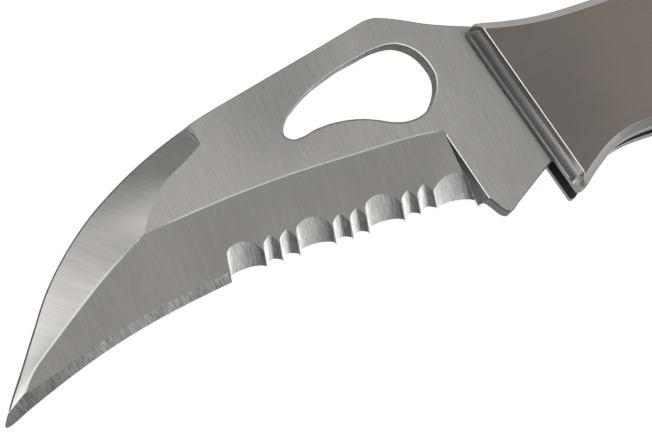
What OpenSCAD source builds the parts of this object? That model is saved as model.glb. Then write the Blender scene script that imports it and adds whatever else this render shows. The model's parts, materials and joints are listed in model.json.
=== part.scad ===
// Folding rigging knife: hooked, part-serrated blade with a thumb opening,
// two plain steel handle slabs and a rocker lock in the handle's back.
// Shapes are drawn round the blade pivot (X towards the butt, Y towards the
// back, Z towards the mark side) and then moved so that the origin is the
// middle of the lanyard hole, on the middle plane.

/* [Blade] */
// Thickness of the blade stock
blade_t = 3; // [2.6:0.1:3.2]
// Thickness left behind the edge by the main bevel
edge_t = 0.6; // [0.5:0.05:0.8]
// Thickness left along the back by the swedge
swedge_t = 1; // [0.7:0.1:1.4]
// Width of the fine bevel along the edge
fine_w = 1.4; // [1.2:0.1:1.5]
// Slope of the serration troughs against the blade plane, in degrees
serration_tilt = 17.5; // [16:0.5:19]

/* [Handle] */
// Thickness of one handle slab
slab_t = 3.4; // [3:0.1:4]
// Space between the two slabs
gap_t = 3.6; // [3.5:0.05:3.8]
// Width and height of the chamfer round each slab
chamfer = 1.1; // [0.7:0.1:1.3]
// Radius of the cove cut along the front edge of each slab
cove_r = 2.55; // [2.3:0.05:2.7]
// Radius of the thumb scoop over the lever
scoop_r = 14; // [12:0.5:16]

/* [Pivot] */
// Diameter of the pivot pin
pivot_pin_d = 4; // [3.5:0.1:4.2]
// Outside diameter of the pivot bushing
bushing_d = 5.6; // [5.2:0.1:5.8]
// Diameter of the two washers
washer_d = 9.2; // [8.4:0.1:9.6]
// Radial running clearance of the pivots
run_fit = 0.03; // [0.02:0.01:0.05]

/* [Lock] */
// Radius of the round tang
tang_r = 5.8; // [5.7:0.05:5.9]
// Depth of the lever's tooth in the tang
tooth_depth = 1.1; // [0.9:0.05:1.1]
// Angle that the lever turns between free and locked
lock_angle = 2.2; // [2.2:0.05:2.4]
// Diameter of the lever's pin
lever_pin_d = 3; // [2.5:0.1:3.2]
// Thickness of the lever
lever_t = 3.4; // [3.2:0.05:3.45]
// Thickness of the leaf spring
spring_t = 0.9; // [0.7:0.05:0.9]

/* [Butt] */
// Clear diameter of the lanyard hole
lanyard_d = 5; // [4:0.1:5.4]
// Outside diameter of the lanyard tube
tube_d = 6.6; // [6.2:0.1:7]
// Diameter of the spacer pins
spacer_pin_d = 3; // [2.5:0.1:3.2]

/* [Hidden] */

bz = blade_t / 2;
gz = gap_t / 2;
hz = gz + slab_t;
closed_angle = 175;
// Middle of the lanyard hole, seen from the pivot
lan = [101.5, -0.5];
// Middle of the lever's pin
lp = [32, 10.6];
// Spacer pins
sp = [[73, 9.9], [90, 8], [98.6, -7.8]];
// Front end of the slabs: x = front_x + front_k * y
front_x = -5.14;
front_k = -0.181;

// ---------- smooth curve through a row of points ----------
function knot(a, b) = max(0.001, sqrt(norm(b - a)));
function mixp(a, b, ta, tb, t) = a * ((tb - t) / (tb - ta)) + b * ((t - ta) / (tb - ta));
function span(a, b, c, d, u) =
    let (t1 = knot(a, b), t2 = t1 + knot(b, c), t3 = t2 + knot(c, d), t = t1 + (t2 - t1) * u,
         p = mixp(a, b, 0, t1, t), q = mixp(b, c, t1, t2, t), r = mixp(c, d, t2, t3, t),
         v = mixp(p, q, 0, t2, t), w = mixp(q, r, t1, t3, t))
    mixp(v, w, t1, t2, t);
function curve(P, n) =
    let (m = len(P) - 1, Q = concat([2 * P[0] - P[1]], P, [2 * P[m] - P[m - 1]]))
    concat([for (i = [1 : m]) for (k = [0 : n - 1]) span(Q[i - 1], Q[i], Q[i + 1], Q[i + 2], k / n)], [P[m]]);
function loop(P, n) =
    let (m = len(P))
    [for (i = [0 : m - 1]) for (k = [0 : n - 1])
        span(P[(i + m - 1) % m], P[i], P[(i + 1) % m], P[(i + 2) % m], k / n)];
function turn(p, a, c) =
    let (d = p - c) [c[0] + d[0] * cos(a) - d[1] * sin(a), c[1] + d[0] * sin(a) + d[1] * cos(a)];
function arc(c, r, a0, a1, n) = [for (i = [0 : n]) c + r * [cos(a0 + (a1 - a0) * i / n), sin(a0 + (a1 - a0) * i / n)]];

// ---------- outlines, round the pivot ----------
// Back of the blade, tip to tang
spine = [[-91.3, -9.5], [-89.1, -6.7], [-86.2, -3.4], [-82.6, 0.8], [-78.7, 5.2], [-74.3, 9],
         [-69.2, 12.4], [-64.4, 14.8], [-60, 16.6], [-55.7, 18], [-51.5, 19.1], [-47.4, 19.9],
         [-41.3, 20.8], [-35.2, 21.7], [-29, 22.6], [-23, 23.5], [-21, 23.8], [-19.5, 23.7],
         [-18.2, 23.2], [-15.9, 22], [-12.9, 20.2], [-9.7, 18.6], [-6, 16.9], [-2.3, 14.7]];
// Edge, heel to tip, along the points of the teeth
edge = [[-16.6, -7], [-22.4, -5.1], [-27.5, -4.9], [-33, -4.6], [-38.1, -4.2], [-43.5, -3.7],
        [-48.6, -3.4], [-54.1, -3.5], [-59.8, -3.8], [-65.6, -4.3], [-71.4, -5.1], [-77.4, -6.3],
        [-83.6, -7.9], [-87.7, -9.1], [-90.4, -10], [-91.2, -10.1]];
// Notch in front of the handle and the kick below it
choil = [[-16.2, -6.8], [-15.3, -6.8], [-14.6, -7.8], [-13.9, -9.1], [-13.2, -9.7], [-12.5, -9.6],
         [-11.5, -9]];
// Thumb opening
opening = [[-18.4, 19], [-16.7, 17.9], [-15.6, 16.5], [-14.9, 14.6], [-14.7, 12.7], [-15.2, 11.1],
           [-16.2, 9.7], [-17.6, 8.5], [-19.4, 7.9], [-21.5, 8], [-23.4, 8.7], [-25.1, 9.7],
           [-27.1, 10.7], [-29.3, 11.4], [-31.6, 11.8], [-33.9, 11.9], [-36.5, 11.6], [-37.8, 11.8],
           [-38.6, 12.7], [-38.4, 13.6], [-37.2, 14.9], [-35.2, 16.1], [-32.4, 17.4], [-29.6, 18.2],
           [-26.9, 18.8], [-24.3, 19.1], [-21.4, 19.4]];
// Handle outline from the top of the front end round the butt to its bottom
handle_back = [[-8, 15.8], [-7.8, 16.5], [-7, 16.85], [-6, 16.65], [-3.2, 15.8], [-0.2, 15.05], [3.4, 14.4],
               [7, 14.05], [11, 13.8], [18, 13.6], [28, 13.5], [40, 13.4], [52, 13.2], [65, 12.9]];
handle_rear = [[65, 12.9], [76, 12.3], [88, 11.2], [98, 9.2], [105, 6.2], [109.2, 2], [110.4, -2.4],
               [108.8, -6.8], [104.4, -10], [97.5, -11.3]];
handle_under = [[97.5, -11.3], [89, -11.8], [79, -12.4], [69, -12.8], [59, -12.9], [49, -12.4], [40, -11.4],
                [31, -10], [23, -8.5], [16.5, -7.3], [11.4, -6.7], [8, -6.65], [5.5, -7], [3.3, -7.8],
                [1.2, -8.9], [-0.5, -9.9], [-1.7, -10.7], [-2.5, -11.1], [-3.1, -10.95], [-3.24, -10.5]];

shoulder_r = norm([-1.6, tang_r - tooth_depth] - lp);
notch_y = tang_r - tooth_depth - 0.06;
// The tang: lever notch, round part, flat for the closed place, straight kick
tang = concat(
    [for (y = [14.4 : -1.2 : 5]) [lp[0] - sqrt(pow(shoulder_r + 0.06, 2) - pow(y - lp[1], 2)), y]],
    [[-1.66, notch_y], [1.66, notch_y]],
    arc([0, 0], tang_r, acos(1.72 / tang_r), closed_angle * -1 + 90 + acos(notch_y / tang_r), 30),
    [turn([3.3, notch_y], -closed_angle, [0, 0])],
    [[-4.3, -5.3], [-7, -6.65]]);

module blade_outline()
    polygon(concat(curve(spine, 3), tang, [for (i = [0 : 6]) curve(choil, 3)[18 - 3 * i]], curve(edge, 3)));

// ---------- blade grinds ----------
// A cut above the straight lines that run from foot points to crest points:
// row = [foot, foot half-thickness, crest, crest half-thickness]
function beyond(r, top) =
    let (d = r[2] - r[0], k = (top - r[1]) / (r[3] - r[1])) [r[0][0] + d[0] * k, r[0][1] + d[1] * k, top];
function before(r, e) =
    let (d = r[2] - r[0], l = norm(d), k = -e / l)
    [r[0][0] + d[0] * k, r[0][1] + d[1] * k, r[1] + (r[3] - r[1]) * k];
module grind(rows, e, top, first_shift, last_shift) {
    n = len(rows);
    pts = [for (i = [0 : n - 1])
        let (a = before(rows[i], e), b = beyond(rows[i], top),
             s = i == 0 ? first_shift : i == n - 1 ? last_shift : [0, 0],
             t = i == 0 && len(first_shift) > 2 ? [first_shift[2], 0] : s)
        each [a, [a[0] + s[0], a[1] + s[1], top + 0.6], [b[0] + t[0], b[1] + t[1], top + 0.6], b]];
    polyhedron(pts, concat(
        [[0, 1, 2, 3], [4 * n - 1, 4 * n - 2, 4 * n - 3, 4 * n - 4]],
        [for (i = [0 : n - 2]) for (k = [0 : 3]) each let (a = 4 * i + k, b = 4 * i + (k + 1) % 4)
            [[a, a + 4, b + 4], [a, b + 4, b]]]));
}
ez = edge_t / 2;
sz = swedge_t / 2;
main_rows = [[[-16.7, -7.1], ez, [-17.1, 4.8], bz], [[-21.4, -5.2], ez, [-21.4, 5.6], bz],
             [[-30.7, -4.8], ez, [-30.7, 6.5], bz], [[-40, -4], ez, [-40, 7.3], bz],
             [[-49.4, -3.4], ez, [-49.5, 7.6], bz], [[-56, -3.6], ez, [-57, 7.5], bz],
             [[-61.6, -3.9], ez, [-63.2, 7.2], bz], [[-67, -4.5], ez, [-70, 4.2], bz - 0.2],
             [[-73.2, -5.5], ez, [-76.1, 0.9], bz - 0.45], [[-78, -6.4], ez, [-80.1, -1.4], bz - 0.6],
             [[-83.4, -7.9], ez, [-84.6, -4.1], bz - 0.78], [[-86, -8.6], ez, [-86.9, -6.2], bz - 0.93],
             [[-88, -9.3], ez, [-88.3, -8.1], ez + 0.13], [[-91.6, -10.7], ez, [-92, -9.6], ez + 0.12],
             [[-94, -11.5], ez, [-94.4, -10.4], ez + 0.12]];
swedge_rows = [[[-93.4, -12.2], sz - 0.32, [-90.5, -11.4], ez - 0.02],
               [[-91.1, -9.2], sz - 0.23, [-88.3, -8.1], ez + 0.13],
               [[-89.4, -7], sz - 0.16, [-86.9, -6.2], bz - 0.93],
               [[-87, -4.3], sz - 0.12, [-84.6, -4.1], bz - 0.78],
               [[-83.6, -0.4], sz - 0.08, [-80.1, -1.4], bz - 0.6],
               [[-80.4, 3.5], sz - 0.05, [-76.1, 0.9], bz - 0.45],
               [[-76.2, 7.5], sz, [-70, 4.2], bz - 0.2], [[-71.7, 10.9], sz, [-63.2, 7.2], bz],
               [[-67.5, 13.4], sz, [-61.3, 9.5], bz], [[-63.2, 15.4], sz, [-58.7, 11.9], bz],
               [[-60, 16.6], sz, [-56.6, 13.3], bz], [[-55.7, 18], sz, [-53.4, 14.6], bz],
               [[-51.4, 19.1], sz, [-50.4, 16], bz]];
// The fine bevel starts at the first plain point or, on the other side, at the heel;
// it is wider towards the tip
edge_on = concat([for (i = [0 : len(edge) - 2]) edge[i]], [[-92.6, -10.7], [-95, -11.5]]);
function fine_rows(i0) = [for (i = [i0 : len(edge_on) - 1])
    let (a = edge_on[i], t = edge_on[min(i + 1, len(edge_on) - 1)] - edge_on[max(i - 1, 0)],
         n = [t[1], -t[0]] / norm(t), w = fine_w + (i < 12 ? 0 : i == 12 ? 0.3 : 0.6))
    [a, 0.05, a + n * w, i > 13 ? 0.37 : i == 13 ? 0.46 : ez + 0.106 * w]];

// One trough: half width, rise of its sides, middle on the edge line, length up to its crown, lean
module trough(a, b, mid, crown, lean) {
    zf = ez + 0.106 * crown - tan(serration_tilt) * crown;
    translate([mid[0], mid[1], zf]) rotate([0, 0, lean]) rotate([serration_tilt, 0, 0]) rotate([90, 0, 0])
        linear_extrude(height = 20, center = true)
            polygon(concat([for (i = [0 : 12]) [-a * cos(15 * i), b * (1 - sin(15 * i))]], [[a, 5], [-a, 5]]));
}
teeth = [[-54.1, -3.5], [-48.6, -3.4], [-46.1, -3.4], [-43.5, -3.7], [-38.1, -4.2], [-35.5, -4.4],
         [-33, -4.6], [-27.5, -4.9], [-25, -5], [-22.4, -5.1], [-16.8, -6.9]];

// One cut at a time: the ground blank, then each trough in turn
module ground_blank()
    difference() {
        difference() {
            difference() {
                difference() {
                    difference() {
                        difference() {
                            difference() {
                                translate([0, 0, -bz]) linear_extrude(height = blade_t) blade_outline();
                                translate([0, 0, -5]) linear_extrude(height = 10) polygon(loop(opening, 2));
                                translate([0, 0, -5]) cylinder(h = 10, r = bushing_d / 2 + run_fit, $fn = 64);
                            }
                            grind(main_rows, 4, 1.9, [3.45, 0, -1.2], [0, 0]);
                        }
                        mirror([0, 0, 1]) grind(main_rows, 4, 1.9, [3.45, 0, -1.2], [0, 0]);
                    }
                    grind(swedge_rows, 4, 1.9, [0, 0], [3, 0.6]);
                }
                mirror([0, 0, 1]) grind(swedge_rows, 4, 1.9, [0, 0], [3, 0.6]);
            }
            grind(fine_rows(7), 2, 0.8, [0, 0], [0, 0]);
        }
        mirror([0, 0, 1]) grind(fine_rows(0), 2, 0.8, [0.3, 0], [0, 0]);
    }
module serrated(i) {
    if (i < 0) ground_blank();
    else difference() {
        serrated(i - 1);
        let (w = norm(teeth[i + 1] - teeth[i]), big = w > 4)
            trough(w / 2 - 0.06, big ? 0.4 : 0.32, (teeth[i] + teeth[i + 1]) / 2, big ? 4.7 : 4,
                   i == len(teeth) - 2 ? -1 : -12.5);
    }
}
module blade_solid() serrated(len(teeth) - 2);

// ---------- handle slab ----------
slab_line = concat(curve(handle_back, 3), [for (i = [1 : 27]) curve(handle_rear, 3)[i]],
                   [for (i = [1 : 57]) curve(handle_under, 3)[i]]);
function from_front(p) = (p[0] - front_x - front_k * p[1]) / 1.016;
function inset(P, c) = let (n = len(P)) [for (i = [0 : n - 1])
    let (t = P[(i + 1) % n] - P[(i + n - 1) % n], w = c * min(1, max(0, from_front(P[i]) / 1.5)))
    P[i] + [t[1], -t[0]] * (w / norm(t))];
// Two triangles of a flat cap, between the back and the underside
function rung(i, n, o, way) =
    let (a = i + o, b = i + 1 + o, c = n - 1 - i + o, d = n - 2 - i + o,
         T = b >= d ? [[a, b, c]] : [[a, b, c], [b, d, c]])
    [for (t = T) way > 0 ? t : [t[2], t[1], t[0]]];
module slab_blank() {
    n = len(slab_line);
    rim = inset(slab_line, chamfer);
    pts = concat([for (p = slab_line) [p[0], p[1], gz]], [for (p = slab_line) [p[0], p[1], hz - chamfer]],
                 [for (p = rim) [p[0], p[1], hz]]);
    polyhedron(pts, concat(
        [for (i = [0 : floor(n / 2) - 1]) each rung(i, n, 0, 1)],
        [for (i = [0 : floor(n / 2) - 1]) each rung(i, n, 2 * n, -1)],
        [for (k = [0, 1]) for (i = [0 : n - 1]) each let (a = k * n + i, b = k * n + (i + 1) % n)
            [[a, b, b + n], [a, b + n, a + n]]]));
}
// Straight cove along the outer front corner, round at its upper end; on the
// mark side it ends round below as well, on the pile side it runs out
cove_top = 14.1;
module cove(cove_len)
    translate([front_x + front_k * cove_top - 1, cove_top, hz]) rotate([0, 0, atan2(-1, -front_k)]) {
        sphere(r = cove_r, $fn = 48);
        rotate([0, 90, 0]) cylinder(h = cove_len, r = cove_r, $fn = 48);
        translate([cove_len, 0, 0]) sphere(r = cove_r, $fn = 48);
    }
module slab(cove_len) {
    difference() {
        slab_blank();
        cove(cove_len);
        cylinder(h = 20, r = pivot_pin_d / 2, $fn = 64);
        translate([lp[0], lp[1], 0]) cylinder(h = 20, r = lever_pin_d / 2, $fn = 48);
        for (p = sp) translate([p[0], p[1], 0]) cylinder(h = 20, r = spacer_pin_d / 2, $fn = 48);
        translate([lan[0], lan[1], 0]) cylinder(h = 20, r = tube_d / 2, $fn = 64);
        translate([56, 11.2 + scoop_r, 0]) cylinder(h = 20, r = scoop_r, $fn = 96);
    }
}

// ---------- lever, spring and spacer ----------
// Top of the lever half way between free and locked
lever_top = [[-1.9, 14.9], [0, 14.6], [3.4, 14.1], [7, 13.8], [11, 13.55], [18, 13.35], [28, 13.25],
             [40, 13.15], [52, 12.95], [64.5, 12.65]];
lever_line = concat(
    [for (p = curve(lever_top, 2)) turn(p, lock_angle / 2, lp)],
    [[64.6, 10], [63.6, 9.4], [50, 9], [39, 8.7]],
    arc(lp, 3.5, -45, -135, 8),
    [[26, 8.7], [14, 8.75], [5, 8.75], [2.6, 8.5], [1.9, 7.7], [1.6, tang_r - tooth_depth]],
    [for (i = [0 : 6]) let (y = tang_r - tooth_depth + i * 1.38)
        [lp[0] - sqrt(shoulder_r * shoulder_r - pow(y - lp[1], 2)), y]]);
module lever_solid() {
    translate([lp[0], lp[1], 0]) rotate([0, 0, -lock_angle]) translate([-lp[0], -lp[1], 0])
        difference() {
            translate([0, 0, -lever_t / 2]) linear_extrude(height = lever_t) polygon(lever_line);
            translate([lp[0], lp[1], -5]) cylinder(h = 10, r = lever_pin_d / 2 + run_fit, $fn = 48);
        }
}
// Underside of the leaf, with its straight clamped end last
leaf = [[48.6, 6.9], [50, 7.25], [53, 7.1], [58, 6.6], [64, 6], [68, 5.75], [71, 5.6]];
leaf_low = concat(curve(leaf, 3), [[76, 5.6]]);
module spring_solid()
    translate([0, 0, -1.4]) linear_extrude(height = 2.8)
        polygon(concat(leaf_low, [for (i = [len(leaf_low) - 1 : -1 : 0]) leaf_low[i] + [0, spring_t]]));

spacer_line = concat(
    [[66, 12.85]], [for (i = [3 : 27]) curve(handle_rear, 3)[i]],
    [[95.4, -11.4], [93.8, -10.4], [93.3, -8], [93.3, 1.6], [92.3, 3.6], [90, 4.4], [72, 4.4], [70, 5],
     [70, 7.4], [67, 8.4], [66, 9.6]]);
module spacer_solid() {
    difference() {
        translate([0, 0, -gz]) linear_extrude(height = gap_t) polygon(spacer_line);
        translate([60, 5.6, -1.4]) cube([16, spring_t, 2.8]);
        translate([60, 5.5, -1.4]) cube([11.2, spring_t + 0.25, 2.8]);
        for (p = sp) translate([p[0], p[1], -5]) cylinder(h = 10, r = spacer_pin_d / 2, $fn = 48);
        translate([lan[0], lan[1], -5]) cylinder(h = 10, r = tube_d / 2, $fn = 64);
    }
}
module ring(ro, ri, z0, z1) translate([0, 0, z0]) difference() {
    cylinder(h = z1 - z0, r = ro, $fn = 64);
    translate([0, 0, -1]) cylinder(h = z1 - z0 + 2, r = ri, $fn = 64);
}
module pin(p, d) translate([p[0], p[1], -hz]) cylinder(h = 2 * hz, r = d / 2, $fn = 48);

// ---------- the pieces, in the part's frame ----------
module from_pivot() translate([-lan[0], -lan[1], 0]) children();

module blade() color([0.62, 0.62, 0.60]) from_pivot() blade_solid();
module mark_side_slab() color([0.45, 0.43, 0.40]) from_pivot() slab(22.9);
module pile_side_slab() color([0.45, 0.43, 0.40]) from_pivot() mirror([0, 0, 1]) slab(27);
module pivot_pin() color([0.50, 0.48, 0.45]) from_pivot() pin([0, 0], pivot_pin_d);
module pivot_bushing() color([0.55, 0.55, 0.55]) from_pivot()
    ring(bushing_d / 2, pivot_pin_d / 2, -gz, gz);
module mark_side_washer() color([0.72, 0.52, 0.28]) from_pivot()
    ring(washer_d / 2, bushing_d / 2 + 0.02, bz + 0.02, gz);
module pile_side_washer() color([0.72, 0.52, 0.28]) from_pivot()
    ring(washer_d / 2, bushing_d / 2 + 0.02, -gz, -bz - 0.02);
module lock_lever() color([0.55, 0.54, 0.52]) from_pivot() lever_solid();
module lever_pin() color([0.50, 0.48, 0.45]) from_pivot() pin(lp, lever_pin_d);
module lock_spring() color([0.40, 0.42, 0.46]) from_pivot() spring_solid();
module back_spacer() color([0.50, 0.49, 0.47]) from_pivot() spacer_solid();
module spacer_pins() color([0.50, 0.48, 0.45]) from_pivot() for (p = sp) pin(p, spacer_pin_d);
module lanyard_tube() color([0.60, 0.59, 0.57]) from_pivot()
    translate([lan[0], lan[1], 0]) ring(tube_d / 2, lanyard_d / 2, -hz, hz);

blade();
mark_side_slab();
pile_side_slab();
pivot_pin();
pivot_bushing();
mark_side_washer();
pile_side_washer();
lock_lever();
lever_pin();
lock_spring();
back_spacer();
spacer_pins();
lanyard_tube();
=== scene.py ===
import json
import math

import bmesh
import bpy
import numpy as np
from mathutils import Matrix, Vector


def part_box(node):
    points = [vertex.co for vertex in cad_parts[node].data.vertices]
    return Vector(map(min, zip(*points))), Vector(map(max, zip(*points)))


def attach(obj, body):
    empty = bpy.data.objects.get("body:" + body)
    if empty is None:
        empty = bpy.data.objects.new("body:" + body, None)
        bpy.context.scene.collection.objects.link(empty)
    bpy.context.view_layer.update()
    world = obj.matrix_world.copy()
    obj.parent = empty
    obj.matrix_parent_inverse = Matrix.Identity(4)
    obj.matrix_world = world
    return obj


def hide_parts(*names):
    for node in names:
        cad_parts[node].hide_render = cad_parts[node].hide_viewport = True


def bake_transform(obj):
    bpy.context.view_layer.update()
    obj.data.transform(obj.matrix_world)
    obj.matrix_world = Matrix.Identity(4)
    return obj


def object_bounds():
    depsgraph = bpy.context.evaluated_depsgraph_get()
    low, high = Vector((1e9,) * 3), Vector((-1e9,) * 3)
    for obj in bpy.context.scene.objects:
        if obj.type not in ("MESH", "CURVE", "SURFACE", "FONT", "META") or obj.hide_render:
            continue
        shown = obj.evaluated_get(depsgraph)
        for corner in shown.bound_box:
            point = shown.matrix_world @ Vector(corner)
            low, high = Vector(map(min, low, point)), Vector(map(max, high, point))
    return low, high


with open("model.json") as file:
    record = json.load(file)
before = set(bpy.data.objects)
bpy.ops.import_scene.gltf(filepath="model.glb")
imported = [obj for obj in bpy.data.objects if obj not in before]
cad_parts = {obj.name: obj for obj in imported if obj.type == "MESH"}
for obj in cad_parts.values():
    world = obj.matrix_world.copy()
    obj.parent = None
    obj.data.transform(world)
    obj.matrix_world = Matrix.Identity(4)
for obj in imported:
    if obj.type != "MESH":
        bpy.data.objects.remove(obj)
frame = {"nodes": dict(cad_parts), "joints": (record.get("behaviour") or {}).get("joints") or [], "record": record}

CAD_LO, CAD_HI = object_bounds()
scene = bpy.context.scene

# ------------------------------------------------------------------
# Sizes, some read from the imported frame and the rest given (millimetres round the pivot)
# ------------------------------------------------------------------
joint = {j["name"]: j for j in frame["joints"]}
PV = Vector(joint["blade_pivot"]["pos_m"])
LP = (Vector(joint["lever_rock"]["pos_m"]) - PV) * 1000
lp = np.array([LP.x, LP.y])
mounts = {m["name"]: m for m in frame["record"]["mounts"]}
LAN = (Vector(mounts["lanyard_hole"]["pos_m"]) - PV) * 1000
lan = np.array([LAN.x, LAN.y])
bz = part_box("blade")[1].z * 1000
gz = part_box("mark_side_slab")[0].z * 1000
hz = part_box("mark_side_slab")[1].z * 1000
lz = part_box("lock_lever")[1].z * 1000
sz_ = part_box("lock_spring")[1].z * 1000


def node_r(node):
    lo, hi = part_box(node)
    return (hi.x - lo.x) * 500


lever_pin_r = node_r("lever_pin")
tube_r = node_r("lanyard_tube")
lanyard_r = mounts["lanyard_hole"]["dims"]["r_mm"]
bushing_r = node_r("pivot_bushing")
spacer_pin_r = 1.5
sp = [(73, 9.9), (90, 8), (98.6, -7.8)]
ez, sz, fine_w = 0.3, 0.5, 1.4
tang_r, tooth_depth, closed_angle, lock_angle = 5.8, 1.1, 175, 2.2
chamfer, cove_r, scoop_r, spring_t = 1.1, 2.55, 14, 0.9
front_x, front_k = -5.14, -0.181

# ------------------------------------------------------------------
# Outlines round the pivot
# ------------------------------------------------------------------
spine = [(-91.3, -9.5), (-89.1, -6.7), (-86.2, -3.4), (-82.6, 0.8), (-78.7, 5.2), (-74.3, 9),
         (-69.2, 12.4), (-64.4, 14.8), (-60, 16.6), (-55.7, 18), (-51.5, 19.1), (-47.4, 19.9),
         (-41.3, 20.8), (-35.2, 21.7), (-29, 22.6), (-23, 23.5), (-21, 23.8), (-19.5, 23.7),
         (-18.2, 23.2), (-15.9, 22), (-12.9, 20.2), (-9.7, 18.6), (-6, 16.9), (-2.3, 14.7)]
edge = [(-16.6, -7), (-22.4, -5.1), (-27.5, -4.9), (-33, -4.6), (-38.1, -4.2), (-43.5, -3.7),
        (-48.6, -3.4), (-54.1, -3.5), (-59.8, -3.8), (-65.6, -4.3), (-71.4, -5.1), (-77.4, -6.3),
        (-83.6, -7.9), (-87.7, -9.1), (-90.4, -10), (-91.2, -10.1)]
choil = [(-16.2, -6.8), (-15.3, -6.8), (-14.6, -7.8), (-13.9, -9.1), (-13.2, -9.7), (-12.5, -9.6),
         (-11.5, -9)]
opening = [(-18.4, 19), (-16.7, 17.9), (-15.6, 16.5), (-14.9, 14.6), (-14.7, 12.7), (-15.2, 11.1),
           (-16.2, 9.7), (-17.6, 8.5), (-19.4, 7.9), (-21.5, 8), (-23.4, 8.7), (-25.1, 9.7),
           (-27.1, 10.7), (-29.3, 11.4), (-31.6, 11.8), (-33.9, 11.9), (-36.5, 11.6), (-37.8, 11.8),
           (-38.6, 12.7), (-38.4, 13.6), (-37.2, 14.9), (-35.2, 16.1), (-32.4, 17.4), (-29.6, 18.2),
           (-26.9, 18.8), (-24.3, 19.1), (-21.4, 19.4)]
handle_back = [(-8, 15.8), (-7.8, 16.5), (-7, 16.85), (-6, 16.65), (-3.2, 15.8), (-0.2, 15.05), (3.4, 14.4),
               (7, 14.05), (11, 13.8), (18, 13.6), (28, 13.5), (40, 13.4), (52, 13.2), (65, 12.9)]
handle_rear = [(65, 12.9), (76, 12.3), (88, 11.2), (98, 9.2), (105, 6.2), (109.2, 2), (110.4, -2.4),
               (108.8, -6.8), (104.4, -10), (97.5, -11.3)]
handle_under = [(97.5, -11.3), (89, -11.8), (79, -12.4), (69, -12.8), (59, -12.9), (49, -12.4), (40, -11.4),
                (31, -10), (23, -8.5), (16.5, -7.3), (11.4, -6.7), (8, -6.65), (5.5, -7), (3.3, -7.8),
                (1.2, -8.9), (-0.5, -9.9), (-1.7, -10.7), (-2.5, -11.1), (-3.1, -10.95), (-3.24, -10.5)]
main_rows = [(-16.7, -7.1, ez, -17.1, 4.8, bz), (-21.4, -5.2, ez, -21.4, 5.6, bz),
             (-30.7, -4.8, ez, -30.7, 6.5, bz), (-40, -4, ez, -40, 7.3, bz),
             (-49.4, -3.4, ez, -49.5, 7.6, bz), (-56, -3.6, ez, -57, 7.5, bz),
             (-61.6, -3.9, ez, -63.2, 7.2, bz), (-67, -4.5, ez, -70, 4.2, bz - 0.2),
             (-73.2, -5.5, ez, -76.1, 0.9, bz - 0.45), (-78, -6.4, ez, -80.1, -1.4, bz - 0.6),
             (-83.4, -7.9, ez, -84.6, -4.1, bz - 0.78), (-86, -8.6, ez, -86.9, -6.2, bz - 0.93),
             (-88, -9.3, ez, -88.3, -8.1, ez + 0.13), (-91.6, -10.7, ez, -92, -9.6, ez + 0.12),
             (-94, -11.5, ez, -94.4, -10.4, ez + 0.12)]
swedge_rows = [(-93.4, -12.2, sz - 0.32, -90.5, -11.4, ez - 0.02),
               (-91.1, -9.2, sz - 0.23, -88.3, -8.1, ez + 0.13),
               (-89.4, -7, sz - 0.16, -86.9, -6.2, bz - 0.93),
               (-87, -4.3, sz - 0.12, -84.6, -4.1, bz - 0.78),
               (-83.6, -0.4, sz - 0.08, -80.1, -1.4, bz - 0.6),
               (-80.4, 3.5, sz - 0.05, -76.1, 0.9, bz - 0.45),
               (-76.2, 7.5, sz, -70, 4.2, bz - 0.2), (-71.7, 10.9, sz, -63.2, 7.2, bz),
               (-67.5, 13.4, sz, -61.3, 9.5, bz), (-63.2, 15.4, sz, -58.7, 11.9, bz),
               (-60, 16.6, sz, -56.6, 13.3, bz), (-55.7, 18, sz, -53.4, 14.6, bz),
               (-51.4, 19.1, sz, -50.4, 16, bz)]
teeth = [(-54.1, -3.5), (-48.6, -3.4), (-46.1, -3.4), (-43.5, -3.7), (-38.1, -4.2), (-35.5, -4.4),
         (-33, -4.6), (-27.5, -4.9), (-25, -5), (-22.4, -5.1), (-16.8, -6.9)]
lever_top = [(-1.9, 14.9), (0, 14.6), (3.4, 14.1), (7, 13.8), (11, 13.55), (18, 13.35), (28, 13.25),
             (40, 13.15), (52, 12.95), (64.5, 12.65)]
leaf = [(48.6, 6.9), (50, 7.25), (53, 7.1), (58, 6.6), (64, 6), (68, 5.75), (71, 5.6)]


# ------------------------------------------------------------------
# Curves
# ------------------------------------------------------------------
def span(a, b, c, d, us, k=2):
    """Centripetal Catmull-Rom from b to c; the first k coordinates set the pace."""
    t1 = max(0.001, math.sqrt(np.linalg.norm(b[:k] - a[:k])))
    t2 = t1 + max(0.001, math.sqrt(np.linalg.norm(c[:k] - b[:k])))
    t3 = t2 + max(0.001, math.sqrt(np.linalg.norm(d[:k] - c[:k])))

    def mix(p, q, ta, tb, t):
        return p * ((tb - t) / (tb - ta)) + q * ((t - ta) / (tb - ta))

    out = []
    for u in us:
        t = t1 + (t2 - t1) * u
        p, q, r = mix(a, b, 0, t1, t), mix(b, c, t1, t2, t), mix(c, d, t2, t3, t)
        out.append(mix(mix(p, q, 0, t2, t), mix(q, r, t1, t3, t), t1, t2, t))
    return out


def curve(points, n, k=2):
    P = [np.array(p, float) for p in points]
    Q = [2 * P[0] - P[1]] + P + [2 * P[-1] - P[-2]]
    out = []
    for i in range(1, len(P)):
        out += span(Q[i - 1], Q[i], Q[i + 1], Q[i + 2], [j / n for j in range(n)], k)
    return out + [P[-1]]


def loop(points, n):
    P = [np.array(p, float) for p in points]
    m, out = len(P), []
    for i in range(m):
        out += span(P[i - 1], P[i], P[(i + 1) % m], P[(i + 2) % m], [j / n for j in range(n)])
    return out


def turned(p, deg, c=(0, 0)):
    a = math.radians(deg)
    x, y = p[0] - c[0], p[1] - c[1]
    return np.array([c[0] + x * math.cos(a) - y * math.sin(a), c[1] + x * math.sin(a) + y * math.cos(a)])


def arc(c, r, a0, a1, n):
    return [np.array([c[0] + r * math.cos(math.radians(a0 + (a1 - a0) * i / n)),
                      c[1] + r * math.sin(math.radians(a0 + (a1 - a0) * i / n))]) for i in range(n + 1)]


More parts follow.
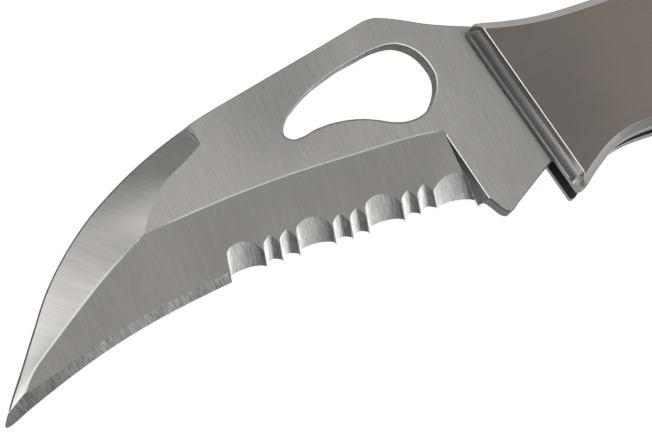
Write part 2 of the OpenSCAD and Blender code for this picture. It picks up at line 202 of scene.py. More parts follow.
def cleaned(poly, least=0.004):
    """No two neighbours closer than least, and anticlockwise."""
    out = []
    for p in poly:
        if not out or np.linalg.norm(p - out[-1]) > least:
            out.append(np.array(p, float))
    while np.linalg.norm(out[0] - out[-1]) <= least:
        out.pop()
    area = sum(out[i - 1][0] * out[i][1] - out[i][0] * out[i - 1][1] for i in range(len(out)))
    return out if area > 0 else out[::-1]


def inward(poly):
    """Mitred inward direction at each corner of an anticlockwise outline."""
    n, out = len(poly), []
    for i in range(n):
        a, b = poly[i] - poly[i - 1], poly[(i + 1) % n] - poly[i]
        na = np.array([-a[1], a[0]]) / np.linalg.norm(a)
        nb = np.array([-b[1], b[0]]) / np.linalg.norm(b)
        m = na + nb
        m = m / max(1e-6, np.linalg.norm(m))
        out.append(m / max(0.45, float(m @ na)))
    return out


# ------------------------------------------------------------------
# Meshes in millimetres round the pivot, and cuts between them
# ------------------------------------------------------------------
def solid(name, verts, faces, mats=None):
    me = bpy.data.meshes.new(name)
    me.from_pydata([tuple(map(float, v)) for v in verts], [], faces)
    if mats:
        me.polygons.foreach_set("material_index", mats)
    bm = bmesh.new()
    bm.from_mesh(me)
    bmesh.ops.recalc_face_normals(bm, faces=bm.faces)
    bm.to_mesh(me)
    bm.free()
    me.update()
    return me


def stack(name, poly, levels, sides, caps=(0, 0), weight=None):
    """A plate from rings of one outline: levels are (inset, z); sides are the material of each band."""
    n, d = len(poly), inward(poly)
    w = weight or [1.0] * n
    verts, faces, mats = [], [], []
    for inset, z in levels:
        for i in range(n):
            q = poly[i] + d[i] * inset * w[i]
            verts.append((q[0], q[1], z))
    for k in range(len(levels) - 1):
        for i in range(n):
            a, b = k * n + i, k * n + (i + 1) % n
            faces.append((a, b, b + n, a + n))
            mats.append(sides[k])
    faces += [tuple(range(n))[::-1], tuple(range((len(levels) - 1) * n, len(levels) * n))]
    mats += [caps[0], caps[1]]
    return solid(name, verts, faces, mats)


def swept(name, sections, mat, start_mat=None):
    """Closed sections of equal length joined in a row; mat is one index or one for each side."""
    n, verts, faces, mats = len(sections[0]), [], [], []
    for s in sections:
        verts += [tuple(p) for p in s]
    for k in range(len(sections) - 1):
        for i in range(n):
            a, b = k * n + i, k * n + (i + 1) % n
            faces += [(a, b, b + n), (a, b + n, a + n)]
            m = mat[i] if isinstance(mat, (list, tuple)) else mat
            mats += [m, m]
    m0 = start_mat if start_mat is not None else (mat if not isinstance(mat, (list, tuple)) else mat[0])
    faces += [tuple(range(n)), tuple(range((len(sections) - 1) * n, len(sections) * n))[::-1]]
    mats += [m0, m0]
    return solid(name, verts, faces, mats)


def spun(name, profile, mat, centre=(0, 0), seg=96):
    """A closed (r, z) profile turned round a line along Z."""
    n, verts, faces = len(profile), [], []
    for s in range(seg):
        a = 2 * math.pi * s / seg
        for r, z in profile:
            verts.append((centre[0] + r * math.cos(a), centre[1] + r * math.sin(a), z))
    for s in range(seg):
        for i in range(n):
            a, b = s * n + i, s * n + (i + 1) % n
            c, d = ((s + 1) % seg) * n + (i + 1) % n, ((s + 1) % seg) * n + i
            faces.append((a, b, c, d))
    return solid(name, verts, faces, [mat] * len(faces))


def rod(name, centre, r, z0, z1, mat, seg=96, flare=0.0, flare_at=()):
    """A round cutter along Z; flare widens it towards z1, for a broken edge."""
    verts, faces, mats = [], [], []
    levels = [(r, z0), (r, z1)]
    if flare:
        levels = [(r, z0), (r, flare_at[0]), (r + flare, flare_at[0] + flare), (r + flare, z1)]
    for rr, z in levels:
        for s in range(seg):
            a = 2 * math.pi * s / seg
            verts.append((centre[0] + rr * math.cos(a), centre[1] + rr * math.sin(a), z))
    for k in range(len(levels) - 1):
        for s in range(seg):
            a, b = k * seg + s, k * seg + (s + 1) % seg
            faces.append((a, b, b + seg, a + seg))
            mats.append(mat)
    faces += [tuple(range(seg))[::-1], tuple(range((len(levels) - 1) * seg, len(levels) * seg))]
    mats += [mat, mat]
    return solid(name, verts, faces, mats)


def capsule(name, start, direction, length, r, mat, z, seg=72, cap=1.0):
    """A round bar with ball ends, cap times as long as their radius, lying along a direction in the plane."""
    d = np.array([direction[0], direction[1], 0.0])
    d /= np.linalg.norm(d)
    up = np.array([0, 0, 1.0])
    side = np.cross(up, d)
    p0 = np.array([start[0], start[1], z])
    rings = [(-cap * r * math.cos(math.radians(a)), r * math.sin(math.radians(a))) for a in range(5, 91, 5)]
    rings += [(length - x, q) for x, q in rings[::-1]]
    verts = [tuple(p0 - d * r * cap)]
    for x, q in rings:
        for s in range(seg):
            a = 2 * math.pi * s / seg
            verts.append(tuple(p0 + d * x + side * q * math.cos(a) + up * q * math.sin(a)))
    verts.append(tuple(p0 + d * (length + r * cap)))
    faces = []
    for s in range(seg):
        faces.append((0, 1 + (s + 1) % seg, 1 + s))
    for k in range(len(rings) - 1):
        for s in range(seg):
            a, b = 1 + k * seg + s, 1 + k * seg + (s + 1) % seg
            faces.append((a, b, b + seg, a + seg))
    last, base = len(verts) - 1, 1 + (len(rings) - 1) * seg
    for s in range(seg):
        faces.append((base + s, base + (s + 1) % seg, last))
    return solid(name, verts, faces, [mat] * len(faces))


def mirrored(me):
    out = me.copy()
    out.transform(Matrix.Diagonal((1, 1, -1, 1)))
    out.flip_normals()
    return out


def cut(base, cutters, slots):
    """base minus each cutter in turn, with the cutters' material numbers kept on the new faces."""
    ob = bpy.data.objects.new("work", base)
    scene.collection.objects.link(ob)
    for me in [base] + [c for c in cutters if not c.materials]:
        for i in range(slots):
            me.materials.append(bpy.data.materials.get("work_%d" % i) or bpy.data.materials.new("work_%d" % i))
    for c in cutters:
        co = bpy.data.objects.new("cutter", c)
        scene.collection.objects.link(co)
        mod = ob.modifiers.new("cut", "BOOLEAN")
        mod.operation, mod.solver, mod.object = "DIFFERENCE", "MANIFOLD", co
        bpy.context.view_layer.update()
        made = bpy.data.meshes.new_from_object(ob.evaluated_get(bpy.context.evaluated_depsgraph_get()))
        ob.modifiers.clear()
        ob.data = made
        bpy.data.objects.remove(co)
        if not len(made.polygons):
            raise RuntimeError("a cut left nothing of " + base.name)
    made = ob.data
    bpy.data.objects.remove(ob)
    return made


def finished(name, me, body, mats, angle=24, replaces=(), split=True, weld=0.0008, flat=False):
    """Moves a mesh to its place in metres, shades it and makes it a piece that rides on body."""
    bm = bmesh.new()
    bm.from_mesh(me)
    bmesh.ops.remove_doubles(bm, verts=bm.verts, dist=weld)
    bmesh.ops.dissolve_degenerate(bm, edges=bm.edges, dist=weld * 0.5)
    lim = math.radians(angle)
    for f in bm.faces:
        f.smooth = True
    for e in bm.edges:
        if len(e.link_faces) != 2:
            continue
        a, b = e.link_faces
        e.smooth = not (e.calc_face_angle(0) > lim or (split and a.material_index != b.material_index))
    bm.to_mesh(me)
    bm.free()
    me.transform(Matrix.Translation(PV) @ Matrix.Scale(0.001, 4))
    numbers = [0] * len(me.polygons)
    me.polygons.foreach_get("material_index", numbers)
    me.materials.clear()
    for m in mats:
        me.materials.append(m)
    me.polygons.foreach_set("material_index", numbers)
    me.name = name
    ob = bpy.data.objects.new(name, me)
    scene.collection.objects.link(ob)
    if body:
        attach(ob, body)
    if replaces:
        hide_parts(*replaces)
    if flat:
        wn = ob.modifiers.new("even_normals", "WEIGHTED_NORMAL")
        wn.keep_sharp = True
        wn.weight = 100
        wn.thresh = 0.0005
    return ob


# ------------------------------------------------------------------
# Procedural metal
# ------------------------------------------------------------------
class Nodes:
    def __init__(self, mat):
        mat.use_nodes = True
        self.t = mat.node_tree
        self.t.nodes.clear()

    def add(self, kind, **props):
        n = self.t.nodes.new(kind)
        for k, v in props.items():
            setattr(n, k, v)
        return n

    def link(self, a, b):
        self.t.links.new(a, b)

    def value(self, socket, v):
        if hasattr(v, "is_linked") or hasattr(v, "links"):
            self.link(v, socket)
        else:
            socket.default_value = v

    def math(self, op, a, b=None, clamp=False):
        n = self.add("ShaderNodeMath", operation=op, use_clamp=clamp)
        self.value(n.inputs[0], a)
        if b is not None:
            self.value(n.inputs[1], b)
        return n.outputs[0]

    def remap(self, v, a, b, c, d, smooth=False):
        n = self.add("ShaderNodeMapRange", interpolation_type="SMOOTHSTEP" if smooth else "LINEAR")
        self.value(n.inputs[0], v)
        for i, x in enumerate((a, b, c, d)):
            self.value(n.inputs[1 + i], x)
        return n.outputs[0]

    def grain(self, coord, deg, along, across, depth, seed, detail=2.0, rough=0.55):
        """Noise drawn out along one direction of the plane: sizes in metres."""
        m = self.add("ShaderNodeMapping", vector_type="POINT")
        m.inputs["Rotation"].default_value = (0, 0, -math.radians(deg))
        self.link(coord, m.inputs["Vector"])
        s = self.add("ShaderNodeMapping", vector_type="POINT")
        s.inputs["Location"].default_value = (seed * 3.7, seed * 1.3, seed * 2.1)
        s.inputs["Scale"].default_value = (1 / along, 1 / across, 1 / depth)
        self.link(m.outputs[0], s.inputs["Vector"])
        n = self.add("ShaderNodeTexNoise", noise_dimensions="3D")
        n.inputs["Scale"].default_value = 1.0
        n.inputs["Detail"].default_value = detail
        n.inputs["Roughness"].default_value = rough
        self.link(s.outputs[0], n.inputs["Vector"])
        return n.outputs["Fac"]


def brushed(name, color, rough, deg=0.0, fine=0.10, coarse=0.05, blotch=0.03, bump=0.25, across=0.00011,
            along=0.006, aniso=0.45, seed=1.0, scratch=0.0, metal=1.0, depth=0.0004, painted_light_ramp=None, painted_shade_spot=None):
    """Ground or brushed steel. deg is the way the grain runs in the plane. The ramp is painted light and shade, a tone
    that changes between two points; the spot, (x, y), radius, depth, is painted shade, a darker patch with a soft
    border."""
    mat = bpy.data.materials.new(name)
    g = Nodes(mat)
    out = g.add("ShaderNodeOutputMaterial")
    p = g.add("ShaderNodeBsdfPrincipled")
    g.link(p.outputs[0], out.inputs["Surface"])
    tc = g.add("ShaderNodeTexCoord").outputs["Object"]
    f = g.grain(tc, deg, along, across, depth, seed)
    c = g.grain(tc, deg, along * 2.5, across * 5, depth * 3, seed + 5)
    b = g.grain(tc, deg, 0.022, 0.013, 0.01, seed + 9, detail=1.0)
    tone = g.remap(f, 0.25, 0.75, 1 - fine, 1 + fine)
    tone = g.math("MULTIPLY", tone, g.remap(c, 0.25, 0.75, 1 - coarse, 1 + coarse))
    tone = g.math("MULTIPLY", tone, g.remap(b, 0.3, 0.7, 1 - blotch, 1 + blotch))
    # Painted light and shade: the tone is scaled from low to high between two points of the object.
    if painted_light_ramp:
        (x0, y0), (x1, y1), low, high = painted_light_ramp
        d = np.array([x1 - x0, y1 - y0])
        dd = d / float(d @ d)
        dot = g.add("ShaderNodeVectorMath", operation="DOT_PRODUCT")
        g.link(tc, dot.inputs[0])
        dot.inputs[1].default_value = (float(dd[0]), float(dd[1]), 0)
        u = g.math("SUBTRACT", dot.outputs["Value"], float(dd @ np.array([x0, y0])))
        tone = g.math("MULTIPLY", tone, g.remap(u, 0, 1, low, high, smooth=True))
    # Painted shade: the tone is darker inside a soft-bordered circle round a point of the object.
    if painted_shade_spot:
        (x0, y0), r0, shade_depth = painted_shade_spot
        off = g.add("ShaderNodeVectorMath", operation="SUBTRACT")
        g.link(tc, off.inputs[0])
        off.inputs[1].default_value = (x0, y0, 0)
        flat = g.add("ShaderNodeVectorMath", operation="MULTIPLY")
        g.link(off.outputs[0], flat.inputs[0])
        flat.inputs[1].default_value = (1, 1, 0)
        size = g.add("ShaderNodeVectorMath", operation="LENGTH")
        g.link(flat.outputs[0], size.inputs[0])
        tone = g.math("MULTIPLY", tone, g.remap(size.outputs["Value"], 0, r0, 1 - shade_depth, 1, smooth=True))
    rgh = g.remap(f, 0.2, 0.8, rough * 0.88, rough * 1.14)
    height = g.math("ADD", g.math("MULTIPLY", f, 1.0), g.math("MULTIPLY", c, 0.6))
    if scratch:
        s1 = g.grain(tc, deg + 34, 0.03, 0.00009, 0.002, seed + 13, detail=0.0)
        s2 = g.grain(tc, deg - 58, 0.02, 0.00009, 0.002, seed + 17, detail=0.0)
        line = g.math("MAXIMUM", g.remap(s1, 0.80, 0.86, 0, 1), g.remap(s2, 0.81, 0.87, 0, 1))
        tone = g.math("ADD", tone, g.math("MULTIPLY", line, scratch))
        height = g.math("SUBTRACT", height, g.math("MULTIPLY", line, 1.2))
    col = g.add("ShaderNodeVectorMath", operation="SCALE")
    col.inputs[0].default_value = color
    g.link(tone, col.inputs["Scale"])
    g.link(col.outputs[0], p.inputs["Base Color"])
    p.inputs["Metallic"].default_value = metal
    g.link(rgh, p.inputs["Roughness"])
    if aniso:
        p.inputs["Anisotropic"].default_value = aniso
        v = g.add("ShaderNodeVectorTransform", vector_type="VECTOR", convert_from="OBJECT", convert_to="WORLD")
        a = math.radians(deg)
        v.inputs[0].default_value = (math.cos(a), math.sin(a), 0)
        g.link(v.outputs[0], p.inputs["Tangent"])
    bm_ = g.add("ShaderNodeBump")
    bm_.inputs["Strength"].default_value = bump
    bm_.inputs["Distance"].default_value = 0.00002
    g.link(height, bm_.inputs["Height"])
    g.link(bm_.outputs[0], p.inputs["Normal"])
    mat.diffuse_color = (*color, 1)
    return mat


def rel(x, y):
    """A point of the pivot's plane, as object coordinates in metres."""
    return (PV.x + x * 0.001, PV.y + y * 0.001)


GRAIN = -87.5
# The flats carry painted shade: a darker soft patch round a point near the top of the opening.
flat_m = brushed("blade_flat_brushed", (0.67, 0.645, 0.615), 0.36, GRAIN, fine=0.17, coarse=0.045, blotch=0.04,
                 across=0.00007, along=0.003, scratch=0.08, painted_shade_spot=(rel(-38, 19), 0.015, 0.22))
bevel_m = brushed("blade_bevel_ground", (0.376, 0.36, 0.34), 0.36, GRAIN - 3, fine=0.12, coarse=0.05, blotch=0.06,
                  across=0.00009, along=0.003, seed=2, bump=0.2)
# The swedge's ramp is a painted highlight: the swedge is lighter towards the tip.
swedge_m = brushed("blade_swedge_ground", (0.90, 0.87, 0.835), 0.34, -43, fine=0.05, coarse=0.07, across=0.00016,
                   along=0.005, seed=3, bump=0.2, painted_light_ramp=(rel(-62, 13), rel(-84, -4), 0.93, 1.11))
# The fine bevel's ramp is painted shade: the fine bevel is darker towards the tip.
fine_m = brushed("blade_fine_bevel", (0.43, 0.415, 0.395), 0.34, GRAIN + 8, fine=0.45, coarse=0.22, seed=4, bump=0.5,
                 across=0.00020, along=0.004, painted_light_ramp=(rel(-86, -8), rel(-74, -5.5), 0.62, 1.12))
teeth_m = brushed("blade_serrations", (0.88, 0.865, 0.84), 0.18, -102.5, fine=0.30, coarse=0.12, seed=5, bump=0.4,
                  across=0.00020, along=0.009)
wall_m = brushed("blade_wall_cut", (0.29, 0.28, 0.27), 0.5, 20, fine=0.22, coarse=0.15, seed=6, bump=0.6, aniso=0.0,
                 across=0.0002, along=0.0004, depth=0.0012)
# The opening wall's ramp is a painted highlight: the wall is much lighter towards the far end of the opening.
open_m = brushed("blade_opening_wall", (0.27, 0.26, 0.25), 0.5, 20, fine=0.45, coarse=0.25, seed=25, bump=0.8, aniso=0.0,
                 across=0.0003, along=0.0005, depth=0.0012, painted_light_ramp=(rel(-20, 17), rel(-30, 17), 0.9, 2.3))
# The blade's broken edges are real cuts; their colour, lighter than the faces beside them, is a painted highlight.
rim_m = brushed("blade_broken_edge", (0.80, 0.79, 0.77), 0.3, GRAIN, fine=0.10, seed=7, bump=0.2)
# The plunge wall's ramp is a painted highlight: the wall is much lighter towards the choil.
plunge_m = brushed("blade_plunge", (0.31, 0.30, 0.29), 0.33, GRAIN - 5, fine=0.35, coarse=0.12, seed=8, bump=0.3,
                   painted_light_ramp=(rel(-16.9, 1.5), rel(-15.7, -7.2), 0.85, 2.6))
# The handle face's ramp is painted light: the face is lighter towards the back end of the handle.
face_m = brushed("handle_satin", (0.308, 0.272, 0.249), 0.40, 6, fine=0.03, coarse=0.02, blotch=0.05, seed=11, bump=0.08,
                 across=0.00012, along=0.003, aniso=0.2, scratch=0.03, painted_light_ramp=(rel(-4, 3), rel(20, 5), 0.95, 1.24))
chamfer_m = brushed("handle_chamfer", (0.45, 0.43, 0.412), 0.36, 4, fine=0.06, coarse=0.04, seed=24, bump=0.15, aniso=0.2)
side_m = brushed("handle_side", (0.42, 0.405, 0.39), 0.38, 4, fine=0.06, coarse=0.04, seed=12, bump=0.15, aniso=0.2)
# The cove's ramp is painted shade: the cove is darker towards the back edge of the handle.
cove_m = brushed("handle_cove", (0.70, 0.685, 0.66), 0.27, -80, fine=0.22, coarse=0.10, seed=13, bump=0.4,
                 across=0.00016, along=0.006, painted_light_ramp=(rel(-6.9, 14), rel(-3.6, -5), 0.76, 1.10))
inner_m = brushed("handle_inside", (0.13, 0.125, 0.12), 0.55, 0, fine=0.12, seed=14, bump=0.3, aniso=0.0)
# The handle's broken edges are real cuts; their colour, far lighter than the face, is a painted highlight.
bright_m = brushed("handle_broken_edge", (0.85, 0.85, 0.83), 0.26, -80, fine=0.08, seed=15, bump=0.15)
pin_m = brushed("pin_end", (0.40, 0.385, 0.365), 0.34, 35, fine=0.06, seed=16, bump=0.2)
lever_m = brushed("lever_satin", (0.52, 0.51, 0.49), 0.36, 0, fine=0.10, coarse=0.06, seed=17, bump=0.3)
lever_side_m = brushed("lever_side", (0.36, 0.35, 0.34), 0.42, 0, fine=0.08, seed=18, bump=0.2)
spring_m = brushed("spring_tempered", (0.30, 0.32, 0.37), 0.33, 0, fine=0.10, coarse=0.10, seed=19, bump=0.25)
spacer_m = brushed("spacer_satin", (0.46, 0.45, 0.43), 0.38, 0, fine=0.10, coarse=0.05, seed=20, bump=0.3)
tube_m = brushed("tube_bright", (0.62, 0.61, 0.59), 0.26, 0, fine=0.08, seed=21, bump=0.2, aniso=0.0)
bushing_m = brushed("bushing_ground", (0.52, 0.52, 0.52), 0.28, 90, fine=0.08, seed=22, bump=0.2, aniso=0.0)
washer_m = brushed("washer_bronze", (0.68, 0.45, 0.22), 0.32, 0, fine=0.10, coarse=0.08, blotch=0.10, seed=23, bump=0.2, aniso=0.0)

# ------------------------------------------------------------------
# Blade
# ------------------------------------------------------------------
FLAT, WALL, OPEN_WALL, RIM, MAIN, PLUNGE, SWEDGE, FINE, TEETH = range(9)

shoulder_r = math.hypot(-1.6 - lp[0], tang_r - tooth_depth - lp[1])
notch_y = tang_r - tooth_depth - 0.06
tang = [np.array([lp[0] - math.sqrt((shoulder_r + 0.06) ** 2 - (y - lp[1]) ** 2), y])
        for y in np.arange(14.4, 4.99, -0.6)]
tang += [np.array([-1.66, notch_y]), np.array([1.66, notch_y])]
tang += arc((0, 0), tang_r, math.degrees(math.acos(1.72 / tang_r)),
            -closed_angle + 90 + math.degrees(math.acos(notch_y / tang_r)), 90)
tang += [turned((3.3, notch_y), -closed_angle), np.array([-4.3, -5.3]), np.array([-7, -6.65])]
nose = [np.array(p, float) for p in ((-91.3, -10.06), (-91.38, -9.95), (-91.4, -9.8), (-91.38, -9.65))]
outline = cleaned(curve(spine, 10) + tang + curve(choil, 8)[::-1] + curve(edge, 10) + nose)
r1 = 0.15
blade_me = stack("blade_blank", outline,
                 [(r1, -bz), (0, -bz + r1), (0, bz - r1), (r1, bz)], [WALL, WALL, WALL], (FLAT, FLAT))


def grind(name, rows, e, top, first, last, mats, n=8):
    """The ground surface through straight rows, as a cutter above it."""
    R = curve(rows, n, k=6)
    sections = []
    for i, r in enumerate(R):
        foot, fz, crest, cz = r[0:2], r[2], r[3:5], r[5]
        d = crest - foot
        far = (top - fz) / (cz - fz)
        near = -e / np.linalg.norm(d)
        s = np.array(first if i == 0 else last if i == len(R) - 1 else ((0, 0), (0, 0)), float)
        a, b = foot + d * near + s[0], foot + d * far + s[1]
        sec = [(a[0], a[1], top + 0.6), (b[0], b[1], top + 0.6)]
        for k in [far, 0.5 + far * 0.5] + [1 - 0.125 * j for j in range(9)] + [near]:
            sec.append((foot[0] + d[0] * k, foot[1] + d[1] * k, fz + (cz - fz) * k))
        sections.append(sec)
    return swept(name, sections, [mats[1], mats[1]] + [mats[0]] * (len(sections[0]) - 3) + [mats[1]], mats[1])


def broken(name, line, w, mat, up=0.5, grow=1.0):
    """A cutter that breaks the ridge along a line of (x, y, z, sideways slope left, slope right)."""
    sections = []
    for i, p in enumerate(line):
        q0, q1 = line[max(i - 1, 0)], line[min(i + 1, len(line) - 1)]
        t = np.array([q1[0] - q0[0], q1[1] - q0[1]])
        t /= np.linalg.norm(t)
        left = np.array([-t[1], t[0]])
        h = w / 2
        a = np.array([p[0] + left[0] * h, p[1] + left[1] * h, p[2] - p[3] * h])
        b = np.array([p[0] - left[0] * h, p[1] - left[1] * h, p[2] - p[4] * h])
        e = (b - a) * grow
        lo, hi = a - e, b + e
        sections.append([tuple(lo), tuple(hi), (hi[0], hi[1], hi[2] + up), (lo[0], lo[1], lo[2] + up)])
    return swept(name, sections, mat)


edge_on = edge[:-1] + [(-92.6, -10.7), (-95, -11.5)]


def fine_rows(i0):
    out = []
    for i in range(i0, len(edge_on)):
        a = np.array(edge_on[i], float)
        t = np.array(edge_on[min(i + 1, len(edge_on) - 1)], float) - np.array(edge_on[max(i - 1, 0)], float)
        w = fine_w + (0 if i < 12 else 0.3 if i == 12 else 0.6)
        q = a + np.array([t[1], -t[0]]) / np.linalg.norm(t) * w
        out.append((a[0], a[1], 0.05, q[0], q[1], 0.37 if i > 13 else 0.46 if i == 13 else ez + 0.106 * w))
    return out


def trough(a, b, mid, crown, lean, tilt=17.5):
    zf = ez + 0.106 * crown - math.tan(math.radians(tilt)) * crown
    sharp = 0.62 if a < 2 else 0.1
    prof = []
    for i in range(37):
        u, v = math.cos(math.radians(5 * i)), math.sin(math.radians(5 * i))
        prof.append((-a * u, b * (sharp * (math.sqrt(u * u + 0.02) - 0.1) + (1 - sharp) * (1 - v))))
    prof += [(a, 5), (-a, 5)]
    m = (Matrix.Translation((mid[0], mid[1], zf)) @ Matrix.Rotation(math.radians(lean), 4, "Z")
         @ Matrix.Rotation(math.radians(tilt), 4, "X") @ Matrix.Rotation(math.radians(90), 4, "X"))
    sec = [[tuple(m @ Vector((x, y, z))) for x, y in prof] for z in (-10, 10)]
    return swept("trough", sec, TEETH)


open_line = cleaned(loop(opening, 8))
open_cut = stack("opening", open_line,
                 [(-1.1, -bz - 0.186), (-0.08, -bz + 0.04), (0, -bz + 0.12), (0, bz - 0.12), (-0.08, bz - 0.04),
                  (-1.1, bz + 0.186)],
                 [RIM, OPEN_WALL, OPEN_WALL, OPEN_WALL, RIM], (WALL, WALL))
none = ((0, 0), (0, 0))
main_cut = grind("main", main_rows, 4, 1.9, ((3.45, 0), (-1.2, 0)), none, (MAIN, PLUNGE))
swedge_cut = grind("swedge", swedge_rows, 4, 1.9, none, ((3, 0.6), (3, 0.6)), (SWEDGE, RIM))
# The ridge between swedge and bevel, where light catches it
ridge = []
for r in curve([r for r in swedge_rows if r[0] > -92][::-1], 8, k=6):
    if r[3] < -63.2:
        d1 = (r[5] - r[2]) / np.linalg.norm(r[3:5] - r[0:2])
        ridge.append((r[3], r[4], r[5] - 0.006, 0.105 if r[3] < -63.2 else 0.0, d1))
ridge_cut = broken("ridge", ridge, 0.23, RIM)
# The top of the plunge wall, a straight line from the crest's end down to the choil
plunge_top = [(-17.1 + (4.8 - y) * 0.1671, y, bz - 0.002, 0.34, 0) for y in (-7.9, -6.8, -4.0, -1.0, 2.0, 4.1)]
plunge_cut = broken("plunge_edge", plunge_top, 0.2, RIM)
# The swedge's start: the fine groove that the wheel's edge leaves at the wall's foot
foot_, crest_ = np.array(swedge_rows[-1][0:2], float), np.array(swedge_rows[-1][3:5], float)
groove_line = []
for k in (-0.06, 0.2, 0.45, 0.7, 0.93):
    zk = sz + (bz - sz) * k
    rise = (1.9 + 0.6 - zk) / 3.06
    bulge = 0.05 + 0.22 * 4 * max(k, 0) * (1 - k)
    q = foot_ + (crest_ - foot_) * k
    groove_line.append((q[0] + bulge, q[1], zk + rise * bulge - 0.07, 0, 0))
start_foot = broken("start_foot", groove_line, 0.19, OPEN_WALL, grow=0.0)
# The back's corner along the swedge
back_line = []
sp_ = curve(spine, 10)
for r in curve(swedge_rows, 4, k=6):
    f, c = r[0:2], r[3:5]
    for p, q in zip(sp_[:-1], sp_[1:]):
        m = np.array([[c[0] - f[0], p[0] - q[0]], [c[1] - f[1], p[1] - q[1]]])
        if abs(np.linalg.det(m)) > 1e-9:
            u, v = np.linalg.solve(m, p - f)
            if 0 <= v < 1 and -0.3 < u < 1 and -90.3 < (f + (c - f) * u)[0] < -51.6:
                x = f + (c - f) * u
                back_line.append((x[0], x[1], r[2] + (r[5] - r[2]) * u - 0.02, 1.1, 0.0))
                break
back_cut = broken("back_edge", back_line, 0.26, WALL)
# The crest between flat and bevel
crest_line = []
for r in curve(main_rows, 6, k=6):
    if -62.8 < r[3] < -17.6:
        d1 = (r[5] - r[2]) / np.linalg.norm(r[3:5] - r[0:2])
        crest_line.append((r[3], r[4], r[5] - 0.003, d1, 0.0))
crest_cut = broken("crest", crest_line, 0.13, RIM)
cutters = [open_cut, rod("bore", (0, 0), bushing_r + 0.03, -5, 5, WALL), main_cut, mirrored(main_cut),
           swedge_cut, mirrored(swedge_cut), ridge_cut, mirrored(ridge_cut), plunge_cut,
           mirrored(plunge_cut), start_foot, mirrored(start_foot), back_cut,
           mirrored(back_cut), crest_cut, mirrored(crest_cut), grind("fine", fine_rows(7), 2, 0.8, none, none, (FINE, FINE)),
           mirrored(grind("fine", fine_rows(0), 2, 0.8, ((0.3, 0), (0.3, 0)), none, (FINE, FINE)))]
for i in range(len(teeth) - 1):
    p, q = np.array(teeth[i]), np.array(teeth[i + 1])
    w = float(np.linalg.norm(q - p))
    big = w > 4
    cutters.append(trough(w / 2 - 0.06, 0.4 if big else 0.32, (p + q) / 2, 4.7 if big else 4,
                          -1 if i == len(teeth) - 2 else -12.5))
blade_me = cut(blade_me, cutters, 9)
finished("blade_body", blade_me, "blade",
         [flat_m, wall_m, open_m, rim_m, bevel_m, plunge_m, swedge_m, fine_m, teeth_m],
         angle=20, replaces=["blade"])

# ------------------------------------------------------------------
# Handle slabs
# ------------------------------------------------------------------
FACE, SIDE, INNER, COVE, EDGE, CHAMFER = range(6)
slab_line = cleaned(curve(handle_back, 8) + curve(handle_rear, 8)[1:] + curve(handle_under, 8)[1:])


def from_front(p):
    return (p[0] - front_x - front_k * p[1]) / 1.016


def slab_mesh(name, run):
    w = [min(1.0, max(0.0, from_front(p) / 1.5)) for p in slab_line]
    c = chamfer
    levels = [(0.10, gz), (0, gz + 0.10), (0, hz - c - 0.04), (0.06, hz - c + 0.05), (c - 0.03, hz - 0.06), (c + 0.10, hz)]
    me = stack(name, slab_line, levels, [EDGE, SIDE, EDGE, CHAMFER, CHAMFER], (INNER, FACE), w)
    y0 = 15.2
    along = (-front_k, -1)

    def bar(label, u, z, r, mat, less=0.0):
        """A round cutter along the front end, u outwards from it."""
        y = y0 - less
        cutters.append(capsule(label, (front_x + front_k * y - u, y), along, run - 2 * less, r, mat, z, cap=0.5))

    cutters = []
    bar("cove", 1.0, hz, cove_r, COVE)
    bar("cove_rim", 1.0, hz + 13.6, math.hypot(cove_r + 0.15, 13.6), EDGE)
    bar("cove_lip", 2.47, hz - 0.717, 3.0, EDGE, 0.3)
    cutters.append(rod("pivot_hole", (0, 0), 2.0, 0, hz - 0.2, SIDE))
    for q in [lp] + [np.array(s) for s in sp]:
        r = lever_pin_r if q is lp else spacer_pin_r
        cutters.append(rod("pin_hole", q, r + 0.004, 0, 20, SIDE, flare=0.05, flare_at=(hz - 0.05,)))
    cutters.append(rod("tube_hole", lan, tube_r + 0.004, 0, 20, SIDE, flare=0.06, flare_at=(hz - 0.06,)))
    cutters.append(rod("scoop", (56, 11.2 + scoop_r), scoop_r, 0, 20, SIDE, seg=256))
    scoop_rim = rod("scoop_rim", (56, 11.2 + scoop_r), scoop_r, 0, 20, EDGE, seg=256, flare=0.22, flare_at=(hz - 0.22,))
    cutters.append(scoop_rim)
    return cut(me, cutters, 6)


slab_mats = [face_m, side_m, inner_m, cove_m, bright_m, chamfer_m]
mark_me = slab_mesh("mark_slab", 24.9)
pile_me = mirrored(slab_mesh("pile_slab", 29.0))
finished("mark_slab_body", mark_me, "handle", slab_mats, angle=26, replaces=["mark_side_slab"],
         flat=True)
finished("pile_slab_body", pile_me, "handle", slab_mats, angle=26, replaces=["pile_side_slab"],
         flat=True)

# ------------------------------------------------------------------
# Lever, spring, spacer, tube and pivot pin
# ------------------------------------------------------------------
top_line = [turned(p, lock_angle / 2, lp) for p in curve(lever_top, 6)]
lever_line = top_line + [np.array(p, float) for p in ((64.6, 10), (63.6, 9.4), (50, 9), (39, 8.7))]
lever_line += arc(lp, 3.5, -45, -135, 24)
lever_line += [np.array(p, float) for p in ((26, 8.7), (14, 8.75), (5, 8.75), (2.6, 8.5), (1.9, 7.7), (1.6, tang_r - tooth_depth))]
lever_line += [np.array([lp[0] - math.sqrt(shoulder_r ** 2 - (y - lp[1]) ** 2), y])
               for y in [tang_r - tooth_depth + i * 0.46 for i in range(19)]]
lever_line = cleaned([turned(p, -lock_angle, lp) for p in lever_line])
rr = 0.12
lever_me = stack("lever", lever_line, [(rr, -lz), (rr * 0.3, -lz + rr * 0.3), (0, -lz + rr), (0, lz - rr), (rr * 0.3, lz - rr * 0.3), (rr, lz)],
                 [0, 0, 0, 0, 0], (1, 1))
lever_me = cut(lever_me, [rod("lever_bore", lp, lever_pin_r + 0.03, -5, 5, 1)], 2)
finished("lever_body", lever_me, "lock_lever", [lever_m, lever_side_m], angle=30, replaces=["lock_lever"], split=False)

